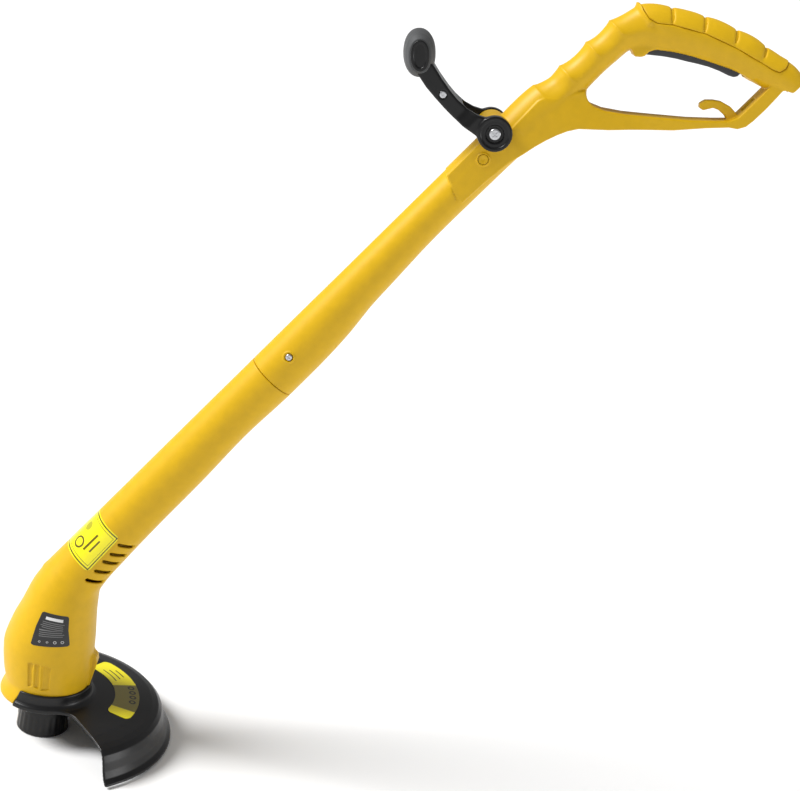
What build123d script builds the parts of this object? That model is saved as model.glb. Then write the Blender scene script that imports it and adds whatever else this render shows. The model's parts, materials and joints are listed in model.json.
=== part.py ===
from build123d import *
import math
import os

# ---------------------------------------------------------------- driving dimensions (mm)
# World frame: origin at the centre of the bump cap's bottom face, +Z up along the motor axis,
# +X towards the operator, -Y the operator's left.  The shaft leans back from the head, so the
# shaft and handle are drawn in a shaft frame: s along the shaft, n square to it (upwards), y.
SHAFT_ANGLE = 55.0          # shaft above the horizontal
WALL = 2.5                  # shell wall

# head and lower tube stations: x, z, lean from vertical, half width in the XZ plane, half width in Y
HEAD = [
    (0.0, 40.0, 0, 43.0, 43.0),
    (-0.5, 58.0, 0, 43.0, 43.0),
    (-2.0, 80.0, 0, 46.0, 45.0),
    (-3.0, 100.0, 0, 47.0, 45.5),
    (-1.0, 130.0, 0, 42.0, 43.0),
    (3.0, 150.0, 0, 37.0, 39.0),
    (10.5, 172.0, 16, 31.8, 34.0),
    (21.8, 192.8, 24, 29.0, 30.0),
]
# lower tube stations: s, n, half height, half width in Y
LOWER_TUBE = [
    (203.0, 93.6, 27.6, 27.0),
    (255.0, 94.5, 26.6, 25.5),
    (327.0, 95.2, 26.0, 25.0),
    (393.0, 96.4, 24.8, 24.3),
    (455.0, 95.6, 25.6, 24.0),
]
SEAM_S = 455.0              # where the lower tube enters the upper one
SPIGOT_END = 525.0

# upper tube and neck stations: s, n, turn from the shaft line, half height, half width in Y
UPPER = [
    (455.0, 95.6, 0, 25.6, 24.0),
    (541.0, 97.0, 0, 24.2, 22.8),
    (575.0, 99.0, 0, 22.1, 21.8),
    (611.0, 100.0, 0, 21.1, 21.2),
    (655.0, 101.2, 0, 19.9, 20.8),
    (735.0, 101.4, 0, 19.7, 21.4),
    (780.0, 101.2, 0, 20.0, 22.0),
    (829.0, 100.0, 0, 21.0, 20.0),
    (862.0, 98.5, 0, 16.8, 18.0),
    (905.0, 97.5, 0, 15.6, 17.4),
    (930.0, 95.0, -10, 16.8, 17.4),
    (945.0, 87.5, -35, 19.6, 17.6),
    (955.5, 74.5, -52, 21.0, 17.8),
    (966.5, 58.0, -59, 20.4, 17.6),
    (976.5, 41.0, -60, 20.2, 17.4),
    (986.0, 21.0, -64, 19.4, 17.2),
    (994.5, 1.5, -67, 18.0, 17.0),
    (1002.0, -27.0, -78, 16.2, 16.6),
    (1007.0, -43.0, -88, 15.0, 16.2),
    (1008.5, -55.0, -90, 12.0, 15.6),
]
# lower strut of the D, from the neck round to the back of the grip
STRUT = [
    (812.0, 89.0, -20, 11.0, 17.0),
    (834.0, 79.0, -32, 14.0, 16.5),
    (853.0, 60.5, -48, 11.0, 14.8),
    (867.0, 43.0, -52, 9.0, 13.6),
    (885.0, 19.0, -50, 7.2, 13.0),
    (906.0, -1.5, -45, 6.2, 13.0),
    (928.0, -23.5, -44, 5.2, 13.0),
    (943.0, -37.0, -30, 5.6, 13.0),
    (958.0, -42.0, -4, 6.6, 13.0),
    (982.0, -42.0, 4, 7.4, 13.0),
    (1003.0, -39.0, 10, 8.6, 13.4),
]

# spool and guard
SPOOL_R_BOTTOM = 27.1
SPOOL_R_TOP = 25.6
CAP_TOP = 28.0
GUARD_START = -51.0         # plan angle of the near end of the guard, from +X
GUARD_END = 91.0
GUARD_COLLAR = 125.0        # the collar runs this far each side of +X
COLLAR_R = 43.3
PLATE_Z = 40.0
GUARD_T = 2.4

# motor, all on the Z axis
SHAFT_R = 4.0
CORE_R = 18.4
CORE_Z = (78.0, 112.0)
COMM_Z = (124.0, 136.0)
BRUSH_Z = 130.0

# auxiliary handle, on a cross bolt through the knuckle of the upper tube
PIVOT = (780.0, 117.5)
EAR_R = 16.6
EAR_Y = (24.8, 36.0)
STRAP_Y = 29.0
AUX_GRIP = (781.0, 217.5)
AUX_GRIP_TURN = 45.0        # long axis of the oval grip section in the shaft frame
AUX_GRIP_AXES = (22.0, 15.2)

# trigger, hinged at its back end; the grip frame (u, v) is the shaft frame turned by GRIP_TURN
TRIGGER_PIVOT = (985.0, -1.0)
TRIGGER_HALF = 7.4
GRIP_TURN = -59.7

FRAME = Plane(
    origin=(0, 0, 0),
    x_dir=(math.cos(math.radians(SHAFT_ANGLE)), 0, math.sin(math.radians(SHAFT_ANGLE))),
    z_dir=(0, -1, 0),
)
PARTS = {}


# ---------------------------------------------------------------- helpers
def world(s, n):
    """Shaft frame point to world X and Z."""
    a = math.radians(SHAFT_ANGLE)
    return s * math.cos(a) - n * math.sin(a), s * math.sin(a) + n * math.cos(a)


def place(shape):
    """Shape drawn as (s, n, -y) moved into the world."""
    return FRAME.location * shape


def tilted_plane(x, z, lean):
    """Section plane at a world point, its normal leaning from +Z towards +X."""
    t = math.radians(lean)
    return Plane(
        origin=(x, 0, z),
        x_dir=(math.cos(t), 0, -math.sin(t)),
        z_dir=(math.sin(t), 0, math.cos(t)),
    )


def section(x, z, lean, half_a, half_b):
    return tilted_plane(x, z, lean) * Ellipse(half_a, half_b)


def shaft_section(s, n, turn, half_a, half_b):
    x, z = world(s, n)
    return section(x, z, 90 - SHAFT_ANGLE - turn, half_a, half_b)


def half_ring(plane, a, b, wall, side):
    """Half of an elliptical ring on one side of the parting plane, as one face."""
    start = 0 if side > 0 else 180
    outer = EllipticalCenterArc((0, 0), a, b, start_angle=start, arc_size=180)
    inner = EllipticalCenterArc((0, 0), a - wall, b - wall, start_angle=start, arc_size=180)
    edges = [outer, Line((a, 0), (a - wall, 0)), inner, Line((-a, 0), (-(a - wall), 0))]
    return plane * make_face(edges)


def shaft_plane(s, n, turn):
    x, z = world(s, n)
    return tilted_plane(x, z, 90 - SHAFT_ANGLE - turn)


def shell_half(stations, wall, side):
    """One clamshell half, lofted straight from half rings so the wall is part of the loft."""
    return loft([half_ring(plane, a, b, wall, side) for plane, a, b in stations], ruled=True)


def reach(stations, s, n):
    """Y of the outer skin at a shaft frame point of a straight run of stations."""
    rows = [row for row in stations if row[2] == 0] if len(stations[0]) == 5 else stations
    rows = [(r[0], r[1], r[-2], r[-1]) for r in rows]
    low = max([r for r in rows if r[0] <= s] or [rows[0]])
    high = min([r for r in rows if r[0] > s] or [rows[-1]])
    f = 0 if high[0] == low[0] else (s - low[0]) / (high[0] - low[0])
    nc, a, b = (low[i] + f * (high[i] - low[i]) for i in (1, 2, 3))
    return b * math.sqrt(max(0.0, 1 - ((n - nc) / a) ** 2))


def half(shape, side):
    """Left is -Y (side -1), right is +Y (side 1)."""
    box = Pos(400, side * 200, 400) * Box(1600, 400, 1600)
    return shape & box


def prism(points, y0, y1):
    """Closed outline in the shaft frame, extruded from y0 to y1."""
    face = make_face(Polyline(*points, close=True))
    return place(Pos(0, 0, -y1) * extrude(face, y1 - y0))


def rod(s, n, r, y0, y1):
    """Cylinder along Y at a shaft frame point."""
    return place(Pos(s, n, -(y0 + y1) / 2) * Cylinder(r, y1 - y0))


def tube_z(r_out, r_in, z0, z1):
    body = Pos(0, 0, (z0 + z1) / 2) * Cylinder(r_out, z1 - z0)
    if r_in > 0:
        body -= Pos(0, 0, (z0 + z1) / 2) * Cylinder(r_in, z1 - z0 + 2)
    return body


def cone_z(r0, r1, z0, z1):
    return Pos(0, 0, (z0 + z1) / 2) * Cone(r0, r1, z1 - z0)


def box_at(x, y, z, dx, dy, dz):
    return Pos(x, y, z) * Box(dx, dy, dz)


def ring_sector(points, start, end):
    """Closed (r, z) outline turned about Z between two plan angles."""
    face = make_face(Polyline(*[(r, 0, z) for r, z in points], close=True))
    return Rot(0, 0, start) * revolve(face, Axis.Z, end - start)


def pan_screw(r, length, head_r, head_h):
    """Screw with its head on top of z=0 and the shank below, cross recess in the head."""
    body = Pos(0, 0, -length / 2) * Cylinder(r, length)
    head = Pos(0, 0, head_h / 2) * Cylinder(head_r, head_h)
    head = fillet(head.edges().sort_by(Axis.Z)[-1], head_h * 0.6)
    slot = Pos(0, 0, head_h) * Box(head_r * 1.1, head_r * 0.22, head_h)
    return body + head - slot - Rot(0, 0, 90) * slot


def add(name, shape):
    PARTS[name] = shape


# ---------------------------------------------------------------- screw places
# shell screws run along Y from the right half into blind bosses in the left half
HEAD_SCREWS = [(-38.2, 72.0), (38.2, 72.0)]     # world X, Z
LOWER_SCREWS = [(158.0, 78.0), (262.0, 86.0), (345.0, 86.0), (432.0, 88.0)]
UPPER_SCREWS = [(560.0, 92.0), (660.0, 92.0), (755.0, 93.0), (846.0, 97.0), (915.0, 90.5), (992.0, -19.0)]
GUARD_SCREWS = [(-12.0, -36.0), (-12.0, 36.0), (26.0, -27.0), (26.0, 27.0)]
TUBE_SCREW = (486.0, 101.0)
BOSS_R = 4.2
SCREW_R = 1.5
HEAD_SEAT = 8.0             # y of the screw head seat
SCREW_TIP = -9.0


def to_shaft(x, z):
    a = math.radians(SHAFT_ANGLE)
    return x * math.cos(a) + z * math.sin(a), -x * math.sin(a) + z * math.cos(a)


def grip_block(u, v, y, du, dv, dy):
    """Block set square to the grip: u along it, v outwards."""
    return place(Rot(0, 0, GRIP_TURN) * Pos(u, v, -y) * Box(du, dv, dy))


def grip_point(u, v):
    t = math.radians(GRIP_TURN)
    return u * math.cos(t) - v * math.sin(t), u * math.sin(t) + v * math.cos(t)


def with_bosses(shell, places, side):
    """Screw bosses joined to one shell half; the right half also gets the head pockets."""
    for s, n, y_skin in places:
        end = y_skin - 1.4
        if side < 0:
            shell += rod(s, n, BOSS_R, -end, 0)
            shell -= rod(s, n, SCREW_R, SCREW_TIP, 1)
        else:
            shell += rod(s, n, BOSS_R, 0, end)
            shell -= rod(s, n, SCREW_R, -1, HEAD_SEAT + 0.5)
            shell -= rod(s, n, 3.1, HEAD_SEAT, 60)
    return shell


def shell_screws(places):
    group = []
    for s, n, _ in places:
        screw = pan_screw(SCREW_R, HEAD_SEAT - SCREW_TIP - 0.5, 2.9, 2.2)
        group.append(place(Pos(s, n, -HEAD_SEAT) * Rot(180, 0, 0) * screw))
    return Compound(children=group)


# ---------------------------------------------------------------- lower housing
LOWER_ROWS = [(tilted_plane(x, z, t), a, b) for x, z, t, a, b in HEAD]
LOWER_ROWS += [(shaft_plane(s, n, 0), a, b) for s, n, a, b in LOWER_TUBE]
HEAD_REACH = [to_shaft(x, z) + (y,) for (x, z), y in zip(HEAD_SCREWS, (25.0, 20.5))]
LOWER_PLACES = HEAD_REACH + [LOWER_SCREWS[0] + (29.8,)]
LOWER_PLACES += [(s, n, reach(LOWER_TUBE, s, n)) for s, n in LOWER_SCREWS[1:]]


def label_patch(rows, start, size, below, above):
    """Thin curved patch lofted over stations (plane, a, b), between two angles round the skin."""
    faces = []
    for plane, a, b in rows:
        t0 = math.radians(start)
        t1 = math.radians(start + size)
        low = EllipticalCenterArc((0, 0), a - below, b - below, start_angle=start, arc_size=size)
        high = EllipticalCenterArc((0, 0), a + above, b + above, start_angle=start, arc_size=size)
        edges = [low, high]
        for t in (t0, t1):
            p = ((a - below) * math.cos(t), (b - below) * math.sin(t))
            q = ((a + above) * math.cos(t), (b + above) * math.sin(t))
            edges.append(Line(p, q))
        faces.append(plane * make_face(edges))
    return loft(faces)


def noise_label():
    rows = [(shaft_plane(180.0, 93.2, 0), 28.2, 28.6), (shaft_plane(204.0, 93.6, 0), 27.6, 27.0),
            (shaft_plane(228.0, 94.0, 0), 27.1, 26.2)]
    return label_patch(rows, 214, 56, 0.5, 0.25)


def rating_label():
    rows = [(tilted_plane(-1.8, 120.0, 0), 44.3, 44.2), (tilted_plane(-0.2, 136.0, 0), 40.8, 42.2),
            (tilted_plane(3.4, 152.0, 0), 36.5, 38.4)]
    return label_patch(rows, 256, 42, 0.5, 0.25)


def lower_half(side):
    shell = shell_half(LOWER_ROWS, WALL, side)
    floor = tube_z(41.8, 11.2, 40.0, 43.0)
    flare = ring_sector([(41.8, 57), (43.6, 57), (45.0, 50), (47.6, 42), (47.6, 30), (45.5, 28),
                         (43.4, 28), (43.4, 40), (41.8, 40)], 130, 230)
    lug = prism([to_shaft(41, 58), to_shaft(44.0, 58), to_shaft(51, 96), to_shaft(45, 104), to_shaft(42, 104)],
                -7, 7)
    shell += half(floor, side) + half(flare, side) + half(lug, side)
    spigot = extrude(half_ring(shaft_plane(SEAM_S - 9, 96.3, 0), 21.3, 19.8, 2.4, side), SPIGOT_END - SEAM_S + 9)
    collar = extrude(half_ring(shaft_plane(SEAM_S - 6, 95.7, 0), 24.4, 22.8, 5.0, side), 6)
    shell += spigot + collar
    for s in (175.0, 187.4, 199.8, 212.2, 224.6):
        shell -= place(Pos(s, 77.0, -side * 24) * Rot(0, 0, -70) * Box(15.0, 4.2, 30.0))
    shell = with_bosses(shell, LOWER_PLACES, side)
    for x, y in GUARD_SCREWS:
        if y * side > 0:
            shell += Pos(x, y, 46) * Cylinder(4.0, 6.4)
            shell -= Pos(x, y, 43) * Cylinder(SCREW_R, 10)
    if side < 0:
        shell += rod(*TUBE_SCREW, 5.0, -18.0, -7.0)
        shell -= rod(*TUBE_SCREW, 1.75, -30, -6)
        shell = shell - noise_label() - rating_label()
    return shell


# ---------------------------------------------------------------- upper housing
UPPER_ROWS = [(shaft_plane(s, n, t), a, b) for s, n, t, a, b in UPPER]
STRUT_ROWS = [(shaft_plane(s, n, t), a, b) for s, n, t, a, b in STRUT]
UPPER_REACH = [22.0, 20.0, 19.5, 17.5, 16.0, 15.5]
UPPER_PLACES = [(s, n, y) for (s, n), y in zip(UPPER_SCREWS, UPPER_REACH)]
PLUG = (755.0, 106.0)


def pad_outline():
    return [(958, 116), (955, 97), (953, 89), (955, 83), (966, 66), (977, 48), (986, 29), (994, 9),
            (1001, -12), (1003, -24), (1006, -32), (1013, -33), (1034, -30), (1040, 60), (990, 116)]


def grip_pad():
    """Soft insert let into the outer side of the grip, wrapping over both halves."""
    rows = [(shaft_plane(s, n, t), a, b) for s, n, t, a, b in UPPER[9:]]
    sides = [pad_ring(rows, side) for side in (-1, 1)]
    return (sides[0] + sides[1]) & prism(pad_outline(), -30, 30)


def pad_ring(rows, side):
    """Half ring from 1.2 mm below the skin to 0.5 mm above it."""
    return loft([half_ring(plane, a + 0.5, b + 0.5, 1.7, side) for plane, a, b in rows], ruled=True)


def trigger_window():
    corners = [grip_point(u, v) for u, v in ((404, 826), (508, 826), (508, 858), (404, 858))]
    return prism(corners, -TRIGGER_HALF - 0.6, TRIGGER_HALF + 0.6)


def upper_half(side):
    shell = shell_half(UPPER_ROWS, WALL, side) + shell_half(STRUT_ROWS, 2.2, side)
    knuckle = rod(*PIVOT, 15.5, 0, 24.0) if side > 0 else rod(*PIVOT, 15.5, -24.0, 0)
    knuckle -= rod(*PIVOT, 13.0, -30, 30) & place(Pos(780, 95, 0) * Box(60, 38, 60))
    hook = prism([(950, -44), (953.5, -36), (954, -26), (950, -14), (942, -6.5), (935, -4), (931.5, -6.5),
                  (933.5, -10.5), (940, -13.5), (944, -19), (944.5, -28), (942, -40)], -4.5, 4.5)
    shell += knuckle + half(hook, side)
    shell += rod(*PIVOT, 6.0, 0, 22.0) if side > 0 else rod(*PIVOT, 6.0, -22.0, 0)
    shell -= rod(*PIVOT, 3.0, -40, 40)
    shell = with_bosses(shell, UPPER_PLACES, side)
    y0, y1 = (8.0, 14.6) if side > 0 else (-14.6, -8.0)
    shell += rod(*TRIGGER_PIVOT, 4.2, y0, y1)
    shell += grip_block(439, 869, (y0 + y1) / 2, 10, 6, y1 - y0)
    shell += place(Pos(886, 92, -side * 10.0) * Box(4.0, 9.0, 9.6))
    shell -= rod(*TRIGGER_PIVOT, 2.0, -12.5, 12.5)
    shell -= trigger_window()
    shell -= prism([(958, -52), (974, -52), (974, -30), (958, -30)], -4.0, 4.0)
    shell -= inlet_disc()
    shell -= extrude(shaft_plane(1003.0, -33.9, -90) * Ellipse(9.5, 13.1), 30)
    if side < 0:
        shell += rod(*TUBE_SCREW, 5.4, -22.3, -20.2)
        shell -= rod(*TUBE_SCREW, 1.9, -30, -15)
        shell -= rod(*TUBE_SCREW, 4.2, -40, -22.0)
        shell -= rod(*PLUG, 5.0, -30, -15)
    return shell


def inlet_disc():
    return extrude(shaft_plane(1003.0, -22.0, -90) * Ellipse(11.5, 13.4), 12)


def inlet_body():
    return inlet_disc() - rod_row(2.2, -20, -36)


def rod_row(r, n0, n1):
    """Two pins across Y, pointing out of the end of the grip."""
    group = None
    for y in (-8.0, 8.0):
        pin = place(Pos(1003.0, (n0 + n1) / 2, y) * Rot(90, 0, 0) * Cylinder(r, abs(n1 - n0)))
        group = pin if group is None else group + pin
    return group


# ---------------------------------------------------------------- trigger and switch
def trigger():
    outline = [(927, 70), (934, 61), (942.5, 52), (953, 36), (964, 18), (972, -2), (978, -8), (988, -8.5),
               (991.5, -3), (990, 3), (943.5, 74), (933, 77)]
    body = prism(outline, -TRIGGER_HALF, TRIGGER_HALF)
    hollow = prism([(942, 64), (953, 46), (966, 24), (975, 4), (977, 8), (945, 66)], -TRIGGER_HALF + 1.8,
                   TRIGGER_HALF - 1.8)
    body -= hollow
    body -= rod(*TRIGGER_PIVOT, 2.05, -20, 20)
    return body


def helix_spring(r, wire, height, turns):
    path = Helix(pitch=height / turns, height=height, radius=r)
    profile = Plane(origin=path @ 0, z_dir=path % 0) * Circle(wire)
    return sweep(profile, path)


def grip_rod(u, v0, v1, r):
    """Cylinder square to the grip at u, from v0 to v1."""
    return place(Rot(0, 0, GRIP_TURN) * Pos(u, (v0 + v1) / 2, 0) * Rot(90, 0, 0) * Cylinder(r, v1 - v0))


# ---------------------------------------------------------------- guard
GUARD_OUT = [(45.6, 58.0), (45.6, 44.5), (72, 42.2), (98, 40.0), (112, 37.6), (119, 35.2), (123.3, 31.0),
             (126, 24.0), (128.5, 15.0), (131.5, 8.0), (136.0, 4.5), (136.2, 2.2)]
GUARD_IN = [(133.6, 1.8), (129.3, 6.4), (126.1, 14.2), (123.5, 23.4), (121.0, 29.7), (118.0, 33.0), (111.5, 35.2),
            (98, 37.6), (43.4, 40.2), (43.4, 58.0)]


def guard():
    plate = ring_sector(GUARD_OUT + GUARD_IN, GUARD_START, GUARD_END)
    collar = ring_sector([(32, 36.5), (45.6, 36.5), (45.6, 58.0), (43.4, 58.0), (43.4, 40.0), (32, 40.0)],
                         -GUARD_COLLAR, GUARD_COLLAR)
    rib = ring_sector([(106, 37), (118, 34), (126.5, 14), (112, 14)], GUARD_END - 2.0, GUARD_END)
    body = plate + collar + rib
    for i in range(3):
        body += ring_sector([(45, 37.5), (45, 41), (96, 38.4), (96, 35.6)], GUARD_START + 20 + i * 50,
                            GUARD_START + 22 + i * 50)
    for x, y in GUARD_SCREWS:
        body -= Pos(x, y, 38) * Cylinder(SCREW_R, 6)
    body -= lug_notch()
    for x, z in BLADE_SCREWS:
        body -= blade_rod(x, z, 1.6)
    return body


def lug_notch():
    """Notch in the collar for the yellow lug at the back of the head."""
    return box_at(46, 0, 52, 12, 15, 20)


BLADE_SCREWS = [(113.0, 19.0), (115.0, 29.0)]


def blade_rod(r, z, radius):
    """Cylinder square to the blade, through the guard's end rib."""
    return Rot(0, 0, GUARD_END) * (Pos(r, -1.5, z) * Rot(90, 0, 0) * Cylinder(radius, 12))


def cutter_blade():
    outline = [(105, 12), (120.5, 16), (117.5, 31.5), (108, 33)]
    blade = ring_sector(outline, GUARD_END - 2.6, GUARD_END - 2.0)
    for r, z in BLADE_SCREWS:
        blade -= blade_rod(r, z, 1.95)
    return blade


def blade_screws():
    group = []
    for r, z in BLADE_SCREWS:
        screw = pan_screw(1.6, 5.6, 3.0, 1.6)
        y = -math.tan(math.radians(2.6)) * r - 0.16
        group.append(Rot(0, 0, GUARD_END) * (Pos(r, y, z) * Rot(90, 0, 0) * screw))
    return Compound(children=group)


# ---------------------------------------------------------------- spool and bump head
def spool_cap():
    body = cone_z(SPOOL_R_BOTTOM, SPOOL_R_TOP, 0, CAP_TOP) - cone_z(SPOOL_R_BOTTOM - 2, SPOOL_R_TOP - 2, 2, CAP_TOP)
    body -= Pos(0, 0, 0) * Cylinder(13.5, 10)
    body = body - Pos(0, 0, 13) * Rot(0, 90, 0) * Cylinder(3.0, 80)
    for i in range(12):
        groove = Rot(0, 0, 15 + 30 * i) * (Pos(SPOOL_R_BOTTOM + 1.2, 0, 9) * Cylinder(2.0, 12))
        body -= groove
    return body


def bump_button():
    body = tube_z(13.0, 0, 0, 2.4) + tube_z(16.5, 0, 2.4, 4.0)
    body = body - tube_z(9.5, 0, 1.6, 6) + tube_z(4.0, 0, 0.4, 1.8)
    return body


def line_spool():
    core = tube_z(13.0, 10.4, 4.0, 21.6)
    return core + tube_z(22.6, 10.4, 4.0, 5.6) + tube_z(22.6, 10.4, 20.0, 21.6)


def line_winding():
    """Wound line as stacked turns between the spool flanges."""
    body = tube_z(18.6, 13.0, 5.6, 20.0)
    for i in range(7):
        z = 6.8 + 2.0 * i
        ring = Pos(0, 0, z) * Torus(18.6, 0.95)
        body += ring
    return body


def eyelets():
    group = []
    for turn in (0, 180):
        ring = Pos(25.4, 0, 13) * Rot(0, 90, 0) * (Cylinder(3.0, 2.8) - Cylinder(1.7, 4))
        group.append(Rot(0, 0, turn) * ring)
    return Compound(children=group)


def spool_base():
    body = tube_z(27.4, 0, 28.0, 31.0) + tube_z(24, 0, 31.0, 34.0) + tube_z(10.0, 0, 31.0, 38.4)
    body += tube_z(9.6, 0, 18.0, 28.0)
    for i in range(8):
        body += Rot(0, 0, 45 * i) * box_at(17, 0, 35, 12, 1.6, 3)
    return body - tube_z(SHAFT_R, 0, 0, 60)


def spool_nut():
    nut = extrude(RegularPolygon(7.5, 6), 4.5)
    return Pos(0, 0, 13.5) * nut - tube_z(SHAFT_R, 0, 0, 60)


# ---------------------------------------------------------------- motor
def motor_shaft():
    return tube_z(SHAFT_R, 0, 12.0, 149.0)


def armature_core():
    core = tube_z(CORE_R, SHAFT_R, *CORE_Z)
    mid = (CORE_Z[0] + CORE_Z[1]) / 2
    for i in range(12):
        core -= Rot(0, 0, 30 * i) * box_at(CORE_R, 0, mid, 8.0, 1.6, 60)
    return core


def armature_windings():
    low = tube_z(16.4, 6.0, CORE_Z[0] - 7.5, CORE_Z[0])
    high = tube_z(16.4, 6.0, CORE_Z[1], CORE_Z[1] + 7.5)
    low = fillet(low.edges().group_by(Axis.Z)[0], 1.8)
    high = fillet(high.edges().group_by(Axis.Z)[-1], 1.8)
    return Compound(children=[low, high])


def winding_sleeves():
    """Insulating sleeves that seat the end windings and the commutator on the shaft."""
    return Compound(children=[tube_z(6.0, SHAFT_R, CORE_Z[0] - 8, CORE_Z[0]),
                              tube_z(6.0, SHAFT_R, CORE_Z[1], COMM_Z[0])])


def commutator():
    body = tube_z(11.5, SHAFT_R, *COMM_Z)
    for i in range(24):
        body -= Rot(0, 0, 15 * i) * box_at(11.5, 0, (COMM_Z[0] + COMM_Z[1]) / 2 + 1.5, 1.6, 0.5, 12)
    return body


def cooling_fan():
    body = tube_z(9.0, 0, 54.0, 66.0) + tube_z(29.4, 0, 64.2, 66.0)
    for i in range(9):
        body += Rot(0, 0, 40 * i) * (Pos(18.5, 0, 60.2) * Rot(0, 0, 24) * Box(17.0, 1.5, 8.2))
    return body - tube_z(SHAFT_R, 0, 0, 200)


def bearing(z0, z1):
    inner = tube_z(6.2, SHAFT_R + 0.05, z0, z1)
    outer = tube_z(11.0, 8.9, z0, z1)
    web = tube_z(8.95, 6.15, z0 + 1.2, z1 - 1.2)
    return inner + outer + web


def lower_frame():
    body = tube_z(15.0, 11.0, 43.0, 51.0) + tube_z(15.0, 5.2, 50.0, 51.5)
    for side in (-1, 1):
        body += box_at(side * 23.5, 0, 46.0, 20.0, 14.0, 6.0)
        body += box_at(side * 31.75, 0, 60.5, 3.5, 14.0, 35.0)
    return body


def stator_core():
    body = tube_z(34.0, 19.2, *CORE_Z)
    mid = (CORE_Z[0] + CORE_Z[1]) / 2
    for side in (-1, 1):
        body -= box_at(side * 22.5, 0, mid, 9.0, 26.0, 60)
    return body


def field_coils():
    """One saddle coil each side, its ends standing out of the core top and bottom."""
    group = []
    for start in (-20, 160):
        low = ring_sector([(20.5, CORE_Z[0] - 6), (29.5, CORE_Z[0] - 6), (29.5, CORE_Z[0]), (20.5, CORE_Z[0])],
                          start, start + 40)
        high = ring_sector([(20.5, CORE_Z[1]), (29.5, CORE_Z[1]), (29.5, CORE_Z[1] + 6), (20.5, CORE_Z[1] + 6)],
                           start, start + 40)
        leg = Rot(0, 0, start + 20) * box_at(22.8, 0, 95, 7.0, 24.0, 36.0)
        group.append(low + high + leg)
    return Compound(children=group)


def upper_frame():
    body = box_at(0, 0, 144.5, 58.0, 25.0, 10.0)
    body = body - tube_z(11.0, 0, 139, 146.8) - tube_z(5.5, 0, 139, 152)
    for y in (-1, 1):
        body += Rot(0, 0, 90 * y) * box_at(26.0, 0, 122.2, 10.0, 14.0, 4.0)
    body += tube_z(31.0, 22.0, 120.2, 124.2)
    for side in (-1, 1):
        body += box_at(side * 27.0, 14.0, 131.0, 4.0, 5.0, 38.0) + box_at(side * 27.0, -14.0, 131.0, 4.0, 5.0, 38.0)
        body += box_at(side * 27.0, 0, 141.5, 4.0, 33.0, 4.0)
    return body


def brush_holders():
    group = []
    for side in (-1, 1):
        body = box_at(0, side * 21.2, BRUSH_Z, 9.4, 17.4, 11.6)
        body -= box_at(0, side * 19.8, BRUSH_Z, 6.2, 17.4, 8.2)
        group.append(body)
    return Compound(children=group)


def carbon_brushes():
    return Compound(children=[box_at(0, side * 16.3, BRUSH_Z, 6.2, 9.4, 8.2) for side in (-1, 1)])


def brush_springs():
    group = []
    for side in (-1, 1):
        spring = helix_spring(2.3, 0.35, 6.7, 6)
        group.append(Pos(0, side * 21.4, BRUSH_Z) * Rot(-90 * side, 0, 0) * spring)
    return Compound(children=group)


def wiring_loom():
    """Supply wires from the brushes up the shaft to the switch, and on to the inlet."""
    points = [(24.0, 0, 152.5)]
    for s, n in ((205, 104), (260, 109), (380, 110.5), (486, 109.5), (650, 107), (745, 101.6), (780, 98.7),
                 (812, 101.2), (846, 105), (915, 103)):
        x, z = world(s, n)
        points.append((x, 0, z))
    x, z = world(*grip_point(424.0, 872.0))
    points.append((x, 0, z))
    path = Spline(*points)
    main = sweep(Plane(origin=path @ 0, z_dir=path % 0) * Circle(2.2), path)
    ends = [world(*grip_point(453.2, 872.0)), world(*grip_point(480.0, 871.0)), world(1007.0, -8.0),
            world(1003.0, -20.4)]
    back = Spline(*[(x, 0, z) for x, z in ends])
    tail = sweep(Plane(origin=back @ 0, z_dir=back % 0) * Circle(2.0), back)
    return Compound(children=[main, tail])


# ---------------------------------------------------------------- auxiliary handle


def aux_half(side):
    ear = ordered_rod(*PIVOT, EAR_R, EAR_Y[0] * side, EAR_Y[1] * side)
    lower = [(764.5, 119), (764, 134), (763.5, 152), (763, 168), (778, 170), (777.5, 160), (779.5, 148), (785, 134),
             (792, 122)]
    y0, y1 = sorted((24.8 * side, 34.0 * side))
    ear += prism(lower, y0, y1)
    upper = [(763.5, 156), (763, 168), (764, 182), (767, 200), (772, 214), (786, 210), (784, 198), (780.5, 186),
             (778, 172), (777.8, 156)]
    y0, y1 = sorted((0, STRAP_Y * side))
    ear += prism(upper, y0, y1)
    core = place(Pos(*AUX_GRIP, -side * 15.0) * Rot(0, 0, AUX_GRIP_TURN) * extrude(Ellipse(12.0, 7.0), 15.0, both=True))
    ear += core
    ear -= ordered_rod(*PIVOT, 8.6, 33.0 * side, 40 * side)
    ear -= rod(*PIVOT, 3.08, -40, 40)
    if side < 0:
        ear -= rod(771.0, 177.0, 1.6, -40, 1)
        ear -= rod(771.0, 177.0, 3.6, -40, -27.4)
    else:
        ear -= rod(771.0, 177.0, 1.6, -1, 8.0)
    return ear


def ordered_rod(s, n, r, y0, y1):
    return rod(s, n, r, min(y0, y1), max(y0, y1))


def aux_sleeve():
    """Soft barrel over the cross grip, open where the strap comes in."""
    faces = []
    for y, a, b in ((-31.0, 15.6, 10.4), (-24, 19.6, 13.4), (-12, 21.6, 14.9), (0, 22.0, 15.2), (12, 21.6, 14.9),
                    (24, 19.6, 13.4), (31.0, 15.6, 10.4)):
        faces.append(place(Pos(*AUX_GRIP, -y) * Rot(0, 0, AUX_GRIP_TURN) * Ellipse(a, b)))
    body = loft(faces)
    return body - aux_half(-1) - aux_half(1)


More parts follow.
